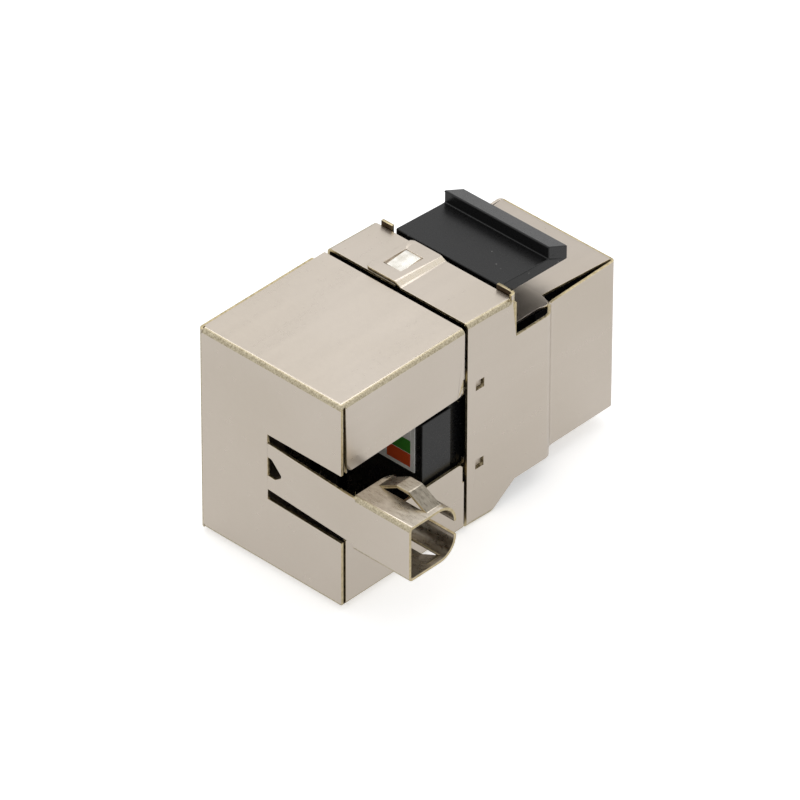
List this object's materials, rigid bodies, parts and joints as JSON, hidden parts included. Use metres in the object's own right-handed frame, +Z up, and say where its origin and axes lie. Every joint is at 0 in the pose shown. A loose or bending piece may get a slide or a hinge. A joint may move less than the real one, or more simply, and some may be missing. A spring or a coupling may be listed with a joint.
{
  "type": "keystone jack",
  "caption": "Shielded keystone jack with a plug port in front, a snap-in panel latch on top, a pull-off rear cap and a side cable clamp on a bent strap.",
  "frame": {"origin": "centre of the nose's front face, where the plug goes in", "axes": "+Z up towards the panel latch, +Y from the plug face back to the cap, -X towards the side window and the cable clamp"},
  "size_m": [0.0267, 0.0388, 0.0237],
  "materials": {
    "plated_sheet": "nickel-plated, satin",
    "black_plastic": "satin moulded",
    "carrier_plastic": "satin moulded",
    "board": "solder mask",
    "label": "printed label",
    "gold_contact": "gold-plated",
    "tinned_contact": "tin-plated"
  },
  "bodies": {
    "housing": {"front_shield": "plated_sheet", "jack_insert": "black_plastic", "contact_carrier": "carrier_plastic", "circuit_board": "board", "idc_block": "carrier_plastic", "contact_1": "gold_contact", "contact_2": "gold_contact", "contact_3": "gold_contact", "contact_4": "gold_contact", "contact_5": "gold_contact", "contact_6": "gold_contact", "contact_7": "gold_contact", "contact_8": "gold_contact", "idc_terminal_1": "tinned_contact", "idc_terminal_2": "tinned_contact", "idc_terminal_3": "tinned_contact", "idc_terminal_4": "tinned_contact", "idc_terminal_5": "tinned_contact", "idc_terminal_6": "tinned_contact", "idc_terminal_7": "tinned_contact", "idc_terminal_8": "tinned_contact"},
    "latch": {"panel_latch": "black_plastic"},
    "manager": {"wire_manager": "black_plastic", "colour_label": "label"},
    "cap": {"rear_cap": "plated_sheet"}
  },
  "joints": [
    {"name": "latch_press", "type": "hinge", "parent": "housing", "child": "latch", "pos_m": [0, 0.0142, 0.00755], "axis": [1, 0, 0], "range_deg": [0, 12], "stiffness_Nm_per_rad": 0.1},
    {"name": "manager_pull", "type": "slide", "parent": "housing", "child": "manager", "axis": [0, 1, 0], "range_m": [0, 0.007]},
    {"name": "cap_pull", "type": "slide", "parent": "housing", "child": "cap", "axis": [0, 1, 0], "range_m": [0, 0.022]}
  ]
}
